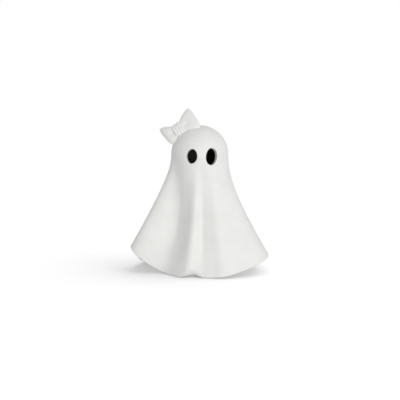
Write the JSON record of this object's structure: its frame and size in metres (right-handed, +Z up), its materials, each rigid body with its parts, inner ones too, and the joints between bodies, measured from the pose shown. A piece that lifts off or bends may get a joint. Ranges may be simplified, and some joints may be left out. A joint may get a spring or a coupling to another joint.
{
  "type": "ceramic ghost figure",
  "caption": "Free-standing white ceramic ghost: a hollow draped shell with cut eye holes and a folded, side-lifted hem, closed below by a base slab, with a tilted bow on the head.",
  "frame": {"origin": "on the floor, under the middle of the hem", "axes": "+Z up, -Y the way the face looks, +X to the right of someone who looks at the face"},
  "size_m": [0.1066, 0.0822, 0.1235],
  "materials": {
    "matte_white_ceramic": "matte white glaze with fine pinholes and specks",
    "bare_clay": "unglazed fired clay, slightly sandy"
  },
  "bodies": {
    "root": {"ghost_body": "matte_white_ceramic", "base_plate": "bare_clay", "bow_left_loop": "matte_white_ceramic", "bow_right_loop": "matte_white_ceramic", "bow_knot": "matte_white_ceramic"}
  },
  "joints": []
}
